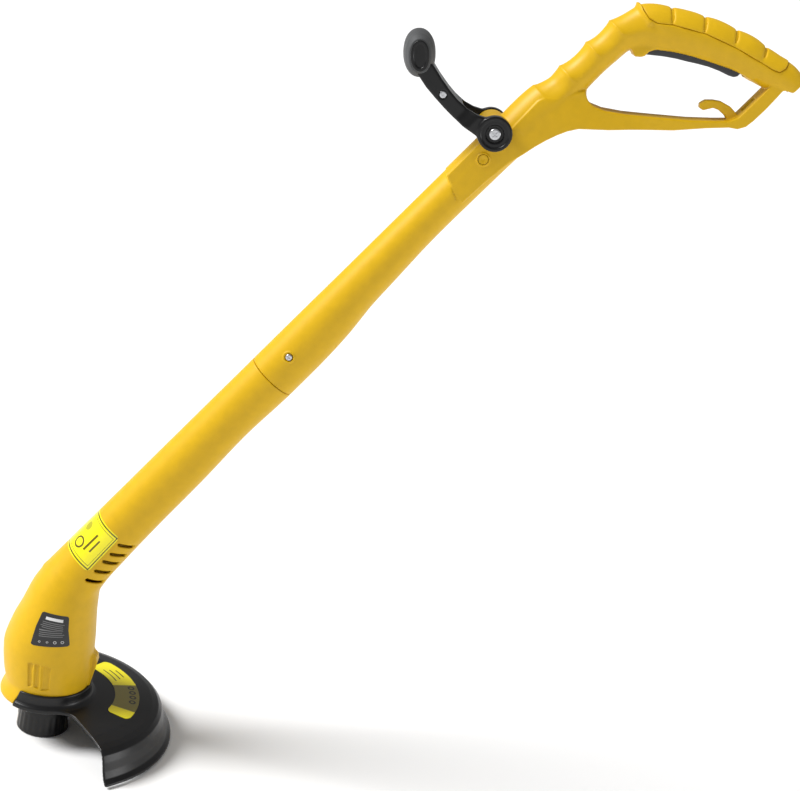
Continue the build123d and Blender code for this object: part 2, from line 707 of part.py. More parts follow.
def aux_end_caps():
    group = []
    for side in (-1, 1):
        cap = Rot(0, 0, AUX_GRIP_TURN) * extrude(Ellipse(14.2, 8.8), 1.8, both=True)
        dish = Rot(0, 0, AUX_GRIP_TURN) * extrude(Ellipse(11.0, 5.8), 1.0, both=True)
        cap = Pos(0, 0, -side * 32.8) * cap - Pos(0, 0, -side * 34.6) * dish
        group.append(place(Pos(*AUX_GRIP, 0) * cap))
    return Compound(children=group)


def pivot_bolt():
    body = pan_screw(3.0, 65.0, 5.6, 3.0)
    return place(Pos(*PIVOT, 33.2) * body)


def pivot_nut():
    nut = extrude(RegularPolygon(5.8, 6), 4.0) - Cylinder(3.0, 20)
    return place(Pos(*PIVOT, -33.2) * Rot(180, 0, 0) * nut)


def pivot_washers():
    group = []
    for side in (-1, 1):
        ring = rod(*PIVOT, 12.0, 24.0, 24.7) - rod(*PIVOT, 3.0, 20, 30)
        group.append(ring if side > 0 else ring.mirror(Plane.XZ))
    return Compound(children=group)


# ---------------------------------------------------------------- the parts
for label, side in (("left", -1), ("right", 1)):
    add("lower_shell_" + label, lower_half(side))
pad = grip_pad()
for label, side in (("left", -1), ("right", 1)):
    add("upper_shell_" + label, upper_half(side) - pad)
add("grip_pad", pad)
add("lower_shell_screws", shell_screws(LOWER_PLACES))
add("upper_shell_screws", shell_screws(UPPER_PLACES))
add("tube_joint_screw", place(Pos(*TUBE_SCREW, 22.0) * pan_screw(1.75, 14.5, 3.4, 2.2)))
add("screw_plug", rod(*PLUG, 5.0, -22.6, -18.6))
add("noise_label", noise_label())
add("rating_label", rating_label())
add("guard", guard())
add("guard_screws", Compound(children=[Pos(x, y, 36.5) * Rot(180, 0, 0) * pan_screw(SCREW_R, 11.0, 3.0, 2.0)
                                       for x, y in GUARD_SCREWS]))
add("guard_sticker", ring_sector([(72, 42.2), (98, 40.0), (98, 40.3), (72, 42.5)], -20, 60))
add("line_cutter_blade", cutter_blade())
add("blade_screws", blade_screws())
add("spool_base", spool_base())
add("spool_nut", spool_nut())
add("spool_cap", spool_cap())
add("line_eyelets", eyelets())
add("bump_button", bump_button())
add("line_spool", line_spool())
add("line_winding", line_winding())
add("feed_spring", Pos(0, 0, 22.2) * helix_spring(15.0, 0.6, 5.2, 2.5))
add("motor_shaft", motor_shaft())
add("armature_core", armature_core())
add("armature_windings", armature_windings())
add("winding_sleeves", winding_sleeves())
add("commutator", commutator())
add("cooling_fan", cooling_fan())
add("lower_bearing", bearing(43.0, 50.0))
add("upper_bearing", bearing(139.8, 146.8))
add("motor_lower_frame", lower_frame())
add("motor_upper_frame", upper_frame())
add("stator_core", stator_core())
add("field_coils", field_coils())
add("brush_holders", brush_holders())
add("carbon_brushes", carbon_brushes())
add("brush_springs", brush_springs())
add("wiring_loom", wiring_loom())
add("capacitor", place(Pos(886, 92, 0) * Box(18, 9, 10.4)))
add("switch_body", grip_block(439, 869, 0, 28, 16, 16) - grip_rod(431, 850, 874, 2.1))
add("switch_plunger", grip_rod(431, 853.4, 867.0, 2.0))
add("trigger", trigger())
add("trigger_pin", rod(*TRIGGER_PIVOT, 2.0, -12.4, 12.4))
add("trigger_spring", place(Rot(0, 0, GRIP_TURN) * Pos(447, 854.4, 0) * Rot(-90, 0, 0) * helix_spring(3.2, 0.4, 6.2, 4)))
add("inlet_body", inlet_body())
add("inlet_pins", rod_row(2.2, -24, -34.4) + rod_row(2.4, -34.4, -52))
add("aux_handle_left", aux_half(-1))
add("aux_handle_right", aux_half(1))
add("aux_grip_sleeve", aux_sleeve())
add("aux_end_caps", aux_end_caps())
add("aux_screw", place(Pos(771.0, 177.0, 27.4) * pan_screw(1.6, 34.0, 3.4, 1.8)))
add("pivot_bolt", pivot_bolt())
add("pivot_nut", pivot_nut())
add("pivot_washers", pivot_washers())

os.makedirs("parts", exist_ok=True)
for name, shape in PARTS.items():
    export_step(shape, "parts/" + name + ".step")
    print(name, shape.is_valid, round(shape.volume), len(shape.solids()))
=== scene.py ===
import json
import math
import bpy
import numpy as np
import openvdb
from mathutils import Matrix, Vector


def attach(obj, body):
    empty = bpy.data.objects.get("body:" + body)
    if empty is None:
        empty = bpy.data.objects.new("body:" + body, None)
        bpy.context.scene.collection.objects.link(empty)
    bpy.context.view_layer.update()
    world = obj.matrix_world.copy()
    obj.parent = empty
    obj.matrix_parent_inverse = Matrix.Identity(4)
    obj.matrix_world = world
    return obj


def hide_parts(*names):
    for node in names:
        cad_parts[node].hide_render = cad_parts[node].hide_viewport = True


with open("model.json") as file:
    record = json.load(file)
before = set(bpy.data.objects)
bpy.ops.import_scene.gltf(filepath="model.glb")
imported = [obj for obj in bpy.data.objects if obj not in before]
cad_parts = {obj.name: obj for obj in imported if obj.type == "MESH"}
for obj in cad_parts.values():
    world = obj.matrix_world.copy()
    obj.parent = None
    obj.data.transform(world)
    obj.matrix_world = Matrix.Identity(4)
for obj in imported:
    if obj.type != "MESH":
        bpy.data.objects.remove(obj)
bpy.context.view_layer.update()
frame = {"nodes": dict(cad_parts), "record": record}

# World frame as the CAD: +Z up the motor axis, +X towards the operator, -Y the operator's left.
# Shaft frame: s along the shaft, n square to it, y.  All lengths below are in mm.
# WALL is the shells' thickness, SEAM half the gap between their halves, SQUARE the power of the
# rounded sections, STEP the pitch of the big pieces' meshes and COARSE a factor for the small ones.
SHAFT = math.radians(55.0)
CA, SA = math.cos(SHAFT), math.sin(SHAFT)
WALL = 2.5
SEAM = 0.08
SQUARE = 2.12
STEP = 1.0
COARSE = 1.0


# ------------------------------------------------------------------ fields
def to_world(s, n):
    return s * CA - n * SA, s * SA + n * CA


def to_shaft(x, z):
    return x * CA + z * SA, -x * SA + z * CA


def smin(a, b, k):
    h = np.clip(0.5 + 0.5 * (b - a) / k, 0, 1)
    return b * (1 - h) + a * h - k * h * (1 - h)


def smax(a, b, k):
    return -smin(-a, -b, k)


def ramp(v, v0, v1):
    t = np.clip((v - v0) / (v1 - v0), 0, 1)
    return t * t * (3 - 2 * t)


def polygon(u, v, points):
    """Signed distance to a closed outline, negative inside."""
    pts = np.array(points, float)
    best = None
    inside = None
    for (x0, y0), (x1, y1) in zip(pts, np.roll(pts, -1, axis=0)):
        ex, ey = x1 - x0, y1 - y0
        wx, wy = u - x0, v - y0
        t = np.clip((wx * ex + wy * ey) / (ex * ex + ey * ey), 0, 1)
        d = (wx - ex * t) ** 2 + (wy - ey * t) ** 2
        best = d if best is None else np.minimum(best, d)
        cross = ((y0 > v) != (y1 > v)) & (u < (x1 - x0) * (v - y0) / (y1 - y0 if y1 != y0 else 1e-9) + x0)
        inside = cross if inside is None else inside ^ cross
    return np.where(inside, -1.0, 1.0) * np.sqrt(best)


def segment(u, v, p, q):
    """Distance to a straight piece from p to q."""
    ex, ey = q[0] - p[0], q[1] - p[1]
    t = np.clip(((u - p[0]) * ex + (v - p[1]) * ey) / (ex * ex + ey * ey), 0, 1)
    return np.sqrt((u - p[0] - ex * t) ** 2 + (v - p[1] - ey * t) ** 2)


def smooth_rows(rows, count):
    """Rows of numbers resampled on a smooth curve through them, the first two columns being a place."""
    p = np.array(rows, float)
    chord = np.r_[0, np.cumsum(np.hypot(*np.diff(p[:, :2], axis=0).T))]
    slope = np.gradient(p, chord, axis=0)
    t = np.linspace(0, chord[-1], count)
    i = np.clip(np.searchsorted(chord, t, side="right") - 1, 0, len(p) - 2)
    h = chord[i + 1] - chord[i]
    f = ((t - chord[i]) / h)[:, None]
    h = h[:, None]
    a, b, ma, mb = p[i], p[i + 1], slope[i], slope[i + 1]
    return ((2 * f**3 - 3 * f**2 + 1) * a + (f**3 - 2 * f**2 + f) * h * ma
            + (-2 * f**3 + 3 * f**2) * b + (f**3 - f**2) * h * mb)


class Chart:
    """A plane function measured once on a fine grid and read back between its points."""

    def __init__(self, function, low, high, pitch=0.5):
        self.low, self.pitch = low, pitch
        u = np.arange(low[0], high[0] + pitch, pitch)
        v = np.arange(low[1], high[1] + pitch, pitch)
        self.values = [np.asarray(f, float) for f in function(u[:, None], v[None, :])]

    def __call__(self, u, v):
        rows, cols = self.values[0].shape
        p = np.clip((u - self.low[0]) / self.pitch, 0, rows - 1.001)
        q = np.clip((v - self.low[1]) / self.pitch, 0, cols - 1.001)
        i, j = p.astype(int), q.astype(int)
        f, g = p - i, q - j
        found = []
        for t in self.values:
            near = t[i, j] * (1 - f) + t[i + 1, j] * f
            far = t[i, j + 1] * (1 - f) + t[i + 1, j + 1] * f
            found.append(near * (1 - g) + far * g)
        return found


def outline_chart(points, margin=40.0, pitch=0.5):
    """Signed distance to a closed outline, as a chart."""
    pts = np.array(points, float)
    low, high = pts.min(0) - margin, pts.max(0) + margin
    chart = Chart(lambda u, v: [polygon(u, v, points)], low, high, pitch)
    return lambda u, v: chart(u, v)[0]


class Spine:
    """A centre line in the shaft frame with the half height and half width of an oval round it."""

    def __init__(self, rows, count=340):
        self.rows = smooth_rows(rows, count)
        low, high = self.rows[:, :2].min(0) - 50, self.rows[:, :2].max(0) + 50
        self.chart = Chart(self.measure, low, high, 1.0)

    def at(self, s, n):
        """Offset from the centre line, half height and half width."""
        return self.chart(s, n)

    def measure(self, s, n):
        s, n = np.broadcast_arrays(np.asarray(s, float), np.asarray(n, float))
        shape = s.shape
        p = np.stack([s.ravel(), n.ravel()], 1)
        out = np.empty((len(p), 3))
        r = self.rows
        for k in range(0, len(p), 40000):
            q = p[k:k + 40000]
            d2 = (q[:, 0:1] - r[None, :, 0]) ** 2 + (q[:, 1:2] - r[None, :, 1]) ** 2
            i = np.clip(d2.argmin(1), 1, len(r) - 2)
            back = self.piece(q, i - 1)
            ahead = self.piece(q, i)
            pick = (back[:, 3] <= ahead[:, 3])[:, None]
            out[k:k + 40000] = np.where(pick, back, ahead)[:, :3]
        return [column.reshape(shape) for column in out.T]

    def piece(self, q, i):
        """Offset, half height, half width and distance, each point against its own piece of the line."""
        r = self.rows
        e = r[i + 1, :2] - r[i, :2]
        size = np.hypot(e[:, 0], e[:, 1])
        w = q - r[i, :2]
        t = np.clip((w * e).sum(1) / size**2, 0, 1)
        off = (e[:, 0] * w[:, 1] - e[:, 1] * w[:, 0]) / size
        away = np.hypot(w[:, 0] - t * e[:, 0], w[:, 1] - t * e[:, 1])
        a = r[i, 2] + t * (r[i + 1, 2] - r[i, 2])
        b = r[i, 3] + t * (r[i + 1, 3] - r[i, 3])
        return np.stack([off, a, b, away], 1)


def oval(d, y, a, b, power=2.1):
    """Near distance to an oval of half sizes a and b, power 2 being an ellipse."""
    rho = (np.abs(d / a) ** power + np.abs(y / b) ** power) ** (1 / power)
    away = np.sqrt(d * d + y * y)
    return away * (1 - 1 / np.maximum(rho, 0.05))


# ------------------------------------------------------------------ meshing
def face_sizes(points, quads):
    a, b, c, d = (points[quads[:, i]] for i in range(4))
    return np.einsum("ij,ij->i", a, np.cross(b, c)) + np.einsum("ij,ij->i", a, np.cross(c, d))


def new_object(name, points, faces, smooth=True):
    mesh = bpy.data.meshes.new(name)
    mesh.from_pydata((np.asarray(points) * 0.001).tolist(), [], np.asarray(faces).tolist())
    mesh.update()
    if smooth:
        mesh.polygons.foreach_set("use_smooth", [True] * len(mesh.polygons))
    obj = bpy.data.objects.new(name, mesh)
    bpy.context.scene.collection.objects.link(obj)
    return obj


def solid(name, field, low, high, step, tilted=True):
    """Closed surface where the field is zero.  Axes are (s, n, y) if tilted, else (x, y, z)."""
    pad = 3 * step
    axes = [np.arange(a - pad, b + pad + step, step) for a, b in zip(low, high)]
    u, v, w = axes[0][:, None, None], axes[1][None, :, None], axes[2][None, None, :]
    values = np.broadcast_to(field(u, v, w), [len(a) for a in axes])
    values = np.clip(values / step, -3, 3).astype(np.float32)
    grid = openvdb.FloatGrid(3.0)
    grid.copyFromArray(np.ascontiguousarray(values))
    points, quads = grid.convertToQuads(0.0)
    points = np.asarray(points, float) * step + np.array([a[0] for a in axes])
    points = settle(points, field, step)
    if tilted:
        x, z = to_world(points[:, 0], points[:, 1])
        points = np.stack([x, points[:, 2], z], 1)
    quads = np.asarray(quads, np.int64)
    if face_sizes(points, quads).sum() < 0:
        quads = quads[:, ::-1]
    return new_object(name, points, quads)


def settle(points, field, step):
    """Moves the vertices onto the field's zero surface."""
    eps = 0.15
    for _ in range(2):
        value = field(*points.T)
        slope = np.empty_like(points)
        for axis in range(3):
            shifted = points.copy()
            shifted[:, axis] += eps
            slope[:, axis] = (field(*shifted.T) - value) / eps
        size = np.maximum((slope**2).sum(1), 0.3)
        move = -(value / size)[:, None] * slope
        reach = np.linalg.norm(move, axis=1)
        points = points + move * np.minimum(1, 0.45 * step / np.maximum(reach, 1e-9))[:, None]
    return points


# ------------------------------------------------------------------ materials
def linear(c):
    return tuple((v / 255 / 12.92 if v <= 10 else ((v / 255 + 0.055) / 1.055) ** 2.4) for v in c) + (1.0,)


def moulded(name, colour, rough, grain=0.0, grain_size=900.0, spread=0.0, coat=0.0, metal=0.0):
    """Plastic, rubber or metal with a fine surface grain and a slight unevenness of colour."""
    mat = bpy.data.materials.new(name)
    mat.use_nodes = True
    tree = mat.node_tree
    shader = tree.nodes["Principled BSDF"]
    shader.inputs["Roughness"].default_value = rough
    shader.inputs["Metallic"].default_value = metal
    shader.inputs["Coat Weight"].default_value = coat
    shader.inputs["Coat Roughness"].default_value = 0.25
    shader.inputs["Specular IOR Level"].default_value = 0.35
    place = tree.nodes.new("ShaderNodeTexCoord")
    noise = tree.nodes.new("ShaderNodeTexNoise")
    noise.inputs["Scale"].default_value = 110.0
    noise.inputs["Detail"].default_value = 4.0
    tree.links.new(place.outputs["Object"], noise.inputs["Vector"])
    tint = tree.nodes.new("ShaderNodeValToRGB")
    base = linear(colour)
    tint.color_ramp.elements[0].position = 0.3
    tint.color_ramp.elements[1].position = 0.7
    tint.color_ramp.elements[0].color = tuple(c * (1 - spread) for c in base[:3]) + (1,)
    tint.color_ramp.elements[1].color = tuple(min(1, c * (1 + spread)) for c in base[:3]) + (1,)
    tree.links.new(noise.outputs["Fac"], tint.inputs["Fac"])
    tree.links.new(tint.outputs["Color"], shader.inputs["Base Color"])
    if grain:
        fine = tree.nodes.new("ShaderNodeTexNoise")
        fine.inputs["Scale"].default_value = grain_size
        fine.inputs["Detail"].default_value = 2.0
        tree.links.new(place.outputs["Object"], fine.inputs["Vector"])
        bump = tree.nodes.new("ShaderNodeBump")
        bump.inputs["Strength"].default_value = grain
        bump.inputs["Distance"].default_value = 0.0006
        tree.links.new(fine.outputs["Fac"], bump.inputs["Height"])
        tree.links.new(bump.outputs["Normal"], shader.inputs["Normal"])
    return mat


MATS = {
    "yellow_shell": moulded("yellow plastic", (214, 170, 2), 0.46, 0.10, 1400, 0.035),
    "soft_yellow": moulded("soft yellow", (217, 173, 3), 0.52, 0.12, 1400, 0.03),
    "black_plastic": moulded("black plastic", (14, 14, 15), 0.3, 0.08, 1500, 0.1),
    "guard_black": moulded("guard plastic", (19, 19, 20), 0.34, 0.12, 1300, 0.12),
    "grey_grip": moulded("grip rubber", (74, 75, 76), 0.6, 0.3, 1600, 0.08),
    "trigger_grey": moulded("trigger plastic", (60, 61, 64), 0.5, 0.15, 1300, 0.06),
    "screw_steel": moulded("zinc steel", (196, 197, 200), 0.3, 0.06, 1500, 0.05, 0, 1.0),
    "steel": moulded("ground steel", (178, 178, 182), 0.28, 0.06, 1500, 0.05, 0, 1.0),
    "lamination": moulded("core laminations", (118, 118, 124), 0.45, 0.1, 1500, 0.08, 0, 1.0),
    "copper": moulded("winding wire", (205, 122, 70), 0.35, 0.2, 1500, 0.08, 0, 1.0),
    "comm_copper": moulded("bare copper", (214, 150, 108), 0.3, 0.06, 1500, 0.05, 0, 1.0),
    "carbon": moulded("carbon", (40, 40, 41), 0.7, 0.2, 1500, 0.1),
    "white_plastic": moulded("nylon", (226, 226, 222), 0.45, 0.06, 1500, 0.03),
    "cutting_line": moulded("nylon line", (206, 92, 38), 0.4, 0.06, 1500, 0.05),
    "label_yellow": moulded("label yellow", (246, 234, 30), 0.35, 0.0, 900, 0.02),
    "label_black": moulded("label black", (24, 24, 25), 0.4, 0.0, 900, 0.05),
    "wire_black": moulded("wire insulation", (32, 32, 32), 0.5, 0.06, 1500, 0.05),
}


class Print:
    """A printed film: flat inks laid over each other by distance masks in label coordinates."""

    def __init__(self, name, paper, rough=0.32):
        self.mat = bpy.data.materials.new(name)
        self.mat.use_nodes = True
        self.tree = self.mat.node_tree
        self.shader = self.tree.nodes["Principled BSDF"]
        self.shader.inputs["Roughness"].default_value = rough
        self.shader.inputs["Coat Weight"].default_value = 0.2
        first = self.tree.nodes.new("ShaderNodeTexNoise")
        first.inputs["Scale"].default_value = 60.0
        ink = self.tree.nodes.new("ShaderNodeValToRGB")
        base = linear(paper)
        ink.color_ramp.elements[0].color = tuple(0.97 * c for c in base[:3]) + (1,)
        ink.color_ramp.elements[1].color = base
        self.tree.links.new(first.outputs["Fac"], ink.inputs["Fac"])
        self.colour = ink.outputs["Color"]

    def place(self, kind):
        """First two label coordinates: the UV map's, or the object's own X and Y in metres."""
        source = self.tree.nodes.new("ShaderNodeTexCoord")
        split = self.tree.nodes.new("ShaderNodeSeparateXYZ")
        self.tree.links.new(source.outputs[kind], split.inputs[0])
        return split.outputs[0], split.outputs[1]

    def math(self, op, a, b=None):
        node = self.tree.nodes.new("ShaderNodeMath")
        node.operation = op
        for i, v in enumerate((a, b)):
            if v is None:
                continue
            if isinstance(v, (int, float)):
                node.inputs[i].default_value = v
            else:
                self.tree.links.new(v, node.inputs[i])
        return node.outputs[0]

    def length(self, a, b):
        return self.math("SQRT", self.math("ADD", self.math("MULTIPLY", a, a), self.math("MULTIPLY", b, b)))

    def within(self, u, v, cu, cv, hu, hv):
        """1 inside a box of half sizes hu, hv."""
        du = self.math("SUBTRACT", self.math("ABSOLUTE", self.math("SUBTRACT", u, cu)), hu)
        dv = self.math("SUBTRACT", self.math("ABSOLUTE", self.math("SUBTRACT", v, cv)), hv)
        return self.math("LESS_THAN", self.math("MAXIMUM", du, dv), 0.0)

    def disc(self, u, v, cu, cv, r0, r1):
        """1 between two radii round a point."""
        away = self.length(self.math("SUBTRACT", u, cu), self.math("SUBTRACT", v, cv))
        return self.math("MULTIPLY", self.math("LESS_THAN", away, r1), self.math("GREATER_THAN", away, r0))

    def minus(self, a, b):
        return self.math("MULTIPLY", a, self.math("SUBTRACT", 1.0, b))

    def ink(self, mask, colour):
        mix = self.tree.nodes.new("ShaderNodeMix")
        mix.data_type = "RGBA"
        mix.inputs[7].default_value = linear(colour)
        self.tree.links.new(mask, mix.inputs[0])
        self.tree.links.new(self.colour, mix.inputs[6])
        self.colour = mix.outputs[2]

    def done(self):
        self.tree.links.new(self.colour, self.shader.inputs["Base Color"])
        return self.mat


def finish_piece(obj, body, slot_name, *nodes, mat=None):
    """Gives the piece its material, by default the one named by the slot, and its body, and hides the CAD
    nodes that it stands for.
    """
    obj.data.materials.append(mat or MATS[slot_name])
    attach(obj, body)
    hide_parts(*nodes)
    return obj


# ------------------------------------------------------------------ lower housing
HEAD = [(0.0, 22.0, 43.0, 43.0), (0.0, 40.0, 43.0, 43.0), (-0.5, 58.0, 43.0, 43.0), (-2.0, 80.0, 46.0, 45.0),
        (-3.0, 100.0, 47.0, 45.5), (-1.0, 130.0, 42.0, 43.0), (3.0, 150.0, 37.0, 39.0),
        (10.5, 172.0, 31.8, 34.0), (21.8, 192.8, 29.0, 30.0)]
LOWER_TUBE = [(203.0, 93.6, 27.6, 27.0), (255.0, 94.5, 26.6, 25.5), (327.0, 95.2, 26.0, 25.0),
              (393.0, 96.4, 24.8, 24.3), (455.0, 95.6, 25.6, 24.0), (480.0, 95.6, 25.6, 24.0)]
LOWER = Spine([to_shaft(x, z) + (a, b) for x, z, a, b in HEAD] + LOWER_TUBE)
LUG = [(41, 58), (44.4, 58), (49.6, 86), (48, 92), (43.5, 96), (40, 96)]
LUG_CHART = outline_chart([to_shaft(x, z) for x, z in LUG])
COLLAR_TURN = 117.5
COLLAR_TOP = 58.0
FLARE = [(40.8, 59), (43.4, 58), (45.4, 52.5), (47.4, 47.5), (48.3, 44.2), (47.9, 41.6), (46.0, 40.4),
         (40.8, 40)]
FLARE_CHART = outline_chart(FLARE, 20, 0.4)


def collar_end(x, y, z):
    """Signed distance past the front ends of the guard collar, which slant forward below its top."""
    a = math.radians(COLLAR_TURN)
    return math.sin(a) * -x + math.cos(a) * np.abs(y) - (COLLAR_TOP - z) * 0.32


VENTS = [((222, 85), (228, 69)), ((209, 84), (215, 70)), ((198, 84), (203, 69)), ((185, 83), (190, 69)),
         ((172, 83), (177, 67))]
PANELS = [[(-15.6, 93.5), (-10.6, 94.2), (-9.6, 67), (-13.4, 66.4)],
          [(-8.4, 94.2), (-3.6, 94.0), (-2.2, 65.2), (-7.2, 66.6)],
          [(-0.9, 93.2), (7.2, 91.6), (8.2, 65.2), (0.2, 64.0)]]

# Head outline in X at each height: z, front, rear, half width in Y
LEVELS = np.array([
    (20, -43, 43, 43), (40, -43, 43, 43), (57, -43.2, 42.6, 43), (70, -46.8, 43.6, 44.2),
    (85, -49, 44, 45.2), (99, -50, 43.6, 45.5), (106, -49, 43.4, 45.4), (114, -47, 43, 45),
    (127, -43, 42, 43.4), (144, -36, 41, 40.2), (163, -29.5, 41, 36.5), (169, -27, 42, 35),
    (181, -20.6, 48, 32.2), (188, -16.3, 52, 31), (196, -10.7, 57, 29.6), (206, -3.7, 63, 28.6),
    (220, 6.1, 72.3, 27.4), (260, 34.1, 100.3, 26)], float)


def level_spread(z):
    """Smoothed table of centre, half depth and half width at a height."""
    fine = np.arange(20, 261, 1.0)
    cols = [np.interp(fine, LEVELS[:, 0], LEVELS[:, k]) for k in (1, 2, 3)]
    kernel = np.hanning(13) / np.hanning(13).sum()
    cols = [np.convolve(np.pad(c, 6, mode="reflect", reflect_type="odd"), kernel, "valid") for c in cols]
    front, rear, wide = (np.interp(z, fine, c) for c in cols)
    return (front + rear) / 2, (rear - front) / 2, wide


def head_measure(s, n):
    x, z = to_world(s, n)
    centre, deep, wide = level_spread(z)
    over = level_spread(z + 1)[0] - level_spread(z - 1)[0]
    return [x - centre, deep, wide, np.cos(np.arctan(over / 2))]


HEAD_CHART = Chart(head_measure, (-25, -30), (300, 140), 1.0)


def lower_body(s, n, y):
    """Level sections for the head, running into square sections for the tube."""
    d, a, b = LOWER.at(s, n)
    tube = oval(d, y, a, b, SQUARE)
    d, a, b, slope = HEAD_CHART(s, n)
    head = oval(d, y, a, b, SQUARE) * slope
    w = ramp(s, 172, 212)
    return head * (1 - w) + tube * w


def panel_measure(x, z):
    return [np.minimum.reduce([polygon(x, z, panel) for panel in PANELS])]


PANEL_CHART = Chart(panel_measure, (-80, 20), (90, 220))


def lower_panels(s, n, y):
    """Body with the three sunk panels above the collar and the nub at the front of the bend."""
    x, z = to_world(s, n)
    body = lower_body(s, n, y)
    inside = ramp(-PANEL_CHART(x, z)[0], -0.35, 0.5)
    nub = ((x + 17) ** 2 + (z - 184) ** 2) / 12.0
    return body + 1.5 * inside * ramp(-y, 20, 30) - 1.1 * np.exp(-nub - (y / 5) ** 2)


def lower_outer(s, n, y):
    x, z = to_world(s, n)
    body = lower_panels(s, n, y)
    body = smax(smax(body, 40 - z, 0.8), s - 454.6, 0.5)
    radius = np.sqrt(x * x + y * y)
    flare = smax(FLARE_CHART(radius, z + 0 * radius), 0.5 - collar_end(x, y, z), 0.8)
    body = smin(body, flare, 2.5)
    lug = smax(LUG_CHART(s, n), np.abs(y) - 7.0, 1.2)
    return smin(body, lug, 1.6)


def lower_shell(s, n, y):
    x, z = to_world(s, n)
    core = lower_panels(s, n, y)
    spigot = oval(n - 96.3, y, 21.3, 19.8, 2.0) + 0 * s
    outer = np.minimum(lower_outer(s, n, y), smax(smax(spigot, s - 525, 0.5), 440 - s, 0.5))
    cavity = smax(smax(core + WALL, 43 - z, 0.8), s - 449, 0.8)
    cavity = np.minimum(cavity, smax(spigot + 2.4, 440 - s, 0.5))
    cavity = np.minimum(cavity, smax(np.sqrt(x * x + y * y) - 11.2, z - 50, 0.5))
    shell = smax(outer, -cavity, 0.3)
    for p, q in VENTS:
        slot = smax(segment(s, n, p, q) - 2.0, 14 - np.abs(y), 0.5)
        shell = smax(shell, -slot, 0.7)
    return shell


HEAD_SCREWS = [to_shaft(-38.2, 72.0), to_shaft(38.2, 72.0)]
LOWER_SCREWS = [(158.0, 78.0), (262.0, 86.0), (345.0, 86.0), (432.0, 88.0)]
UPPER_SCREWS = [(560.0, 92.0), (660.0, 92.0), (755.0, 93.0), (846.0, 97.0), (915.0, 90.5), (992.0, -19.0)]
TUBE_SCREW = (486.0, 101.0)
PLUG = (755.0, 106.0)


def right_bosses(shell, outer, places, s, n, y):
    """Screw pockets let into the right half, with the boss walls behind them."""
    for ps, pn in places:
        r = np.hypot(s - ps, n - pn)
        boss = smax(smax(r - 4.2, outer + 0.6, 0.4), 0.2 - y, 0.3)
        shell = smin(shell, boss, 0.6)
        shell = smax(shell, -(smax(r - 3.1, 8.0 - y, 0.2)), 0.4)
        shell = np.maximum(shell, -(r - 1.5 + 0 * y))
    return shell


def lower_left(s, n, y):
    shell = lower_shell(s, n, y)
    baffle = smax(np.maximum(np.abs(s - 203) - 30, np.abs(n - 84) - 16), np.abs(y + 1.2) - 0.8, 0.3)
    shell = smin(shell, baffle, 0.3)
    shell = smax(shell, -(np.hypot(s - TUBE_SCREW[0], n - TUBE_SCREW[1]) - 1.9 + 0 * y), 0.2)
    return smax(shell, y + SEAM, 0.45)


def lower_right(s, n, y):
    shell = right_bosses(lower_shell(s, n, y), lower_outer(s, n, y), HEAD_SCREWS + LOWER_SCREWS, s, n, y)
    return smax(shell, SEAM - y, 0.45)


finish_piece(solid("Lower_shell_left", lower_left, (-8, -12, -49), (526, 124, 1), STEP),
             "housing", "yellow_shell", "lower_shell_left")
finish_piece(solid("Lower_shell_right", lower_right, (-8, -12, -1), (526, 124, 49), STEP),
             "housing", "yellow_shell", "lower_shell_right")

# ------------------------------------------------------------------ upper housing
UPPER = Spine([(430.0, 95.6, 25.6, 24.0), (455.0, 95.6, 25.6, 24.0), (541.0, 97.0, 24.2, 22.8),
               (575.0, 99.0, 22.1, 21.8), (611.0, 100.0, 21.1, 21.2), (655.0, 101.2, 19.9, 20.8),
               (735.0, 101.4, 19.7, 21.4), (780.0, 101.2, 20.0, 21.6), (829.0, 100.0, 21.0, 20.0),
               (862.0, 98.5, 16.8, 18.0), (905.0, 97.5, 15.6, 17.4), (930.0, 95.0, 16.8, 17.4),
               (945.0, 87.5, 19.6, 17.6), (955.5, 74.5, 21.0, 17.8), (966.5, 58.0, 20.4, 17.6),
               (976.5, 41.0, 20.2, 17.4), (986.0, 21.0, 19.4, 17.2), (994.5, 1.5, 18.0, 17.0),
               (1002.0, -27.0, 16.2, 16.6), (1007.0, -43.0, 15.0, 16.2), (1008.5, -55.0, 12.6, 15.6),
               (1009.0, -66.0, 11.0, 15.0)], 420)
# The flat beside the handle running on into the strut, its half width along s, the lip in front of
# the trigger, the hook and the pad, all as outlines in the shaft frame.
SLAB = [(712, 90), (714, 104), (718, 115), (720, 119.6), (766, 119.6), (773, 113), (795, 108.3), (829, 109.3),
        (836, 106.5), (841, 100), (847, 94), (858, 89), (866, 84), (863.6, 79), (862.2, 73.4), (862.6, 68),
        (867.2, 57.4), (878.4, 41.4), (895.6, 20.6), (918, -6), (934.6, -23.7), (944, -33), (952, -36.5),
        (958, -36.5), (990, -36), (1003, -33), (1008, -40), (1003, -47), (989, -48.2), (975, -49), (960, -49),
        (951, -48), (944, -44), (939.5, -37.4), (923.7, -22.4), (900.7, -2.4), (872.7, 26.6), (858, 41),
        (848, 52), (838, 63), (829, 69), (820, 73), (809, 77), (798, 80), (786, 82.5), (770, 86), (740, 89)]
SLAB_WIDTH = [(700, 20.0), (764, 20.0), (785, 21.4), (812, 20.6), (829, 19.8), (845, 18.2), (860, 16.2),
              (885, 13.6), (1020, 13.2)]
SLAB_CHART = outline_chart(SLAB)
LIP = [(921, 74), (925, 69.5), (928, 67.8), (933, 68.0), (940.4, 64.6), (951, 53.4), (958.1, 43.8),
       (965.1, 33.4), (970.2, 23.3), (974.6, 13.2), (978, 3), (981, -8), (984, -20), (1000, -20), (985, 25),
       (960, 68), (940, 84), (925, 86)]
LIP_CHART = outline_chart(LIP)
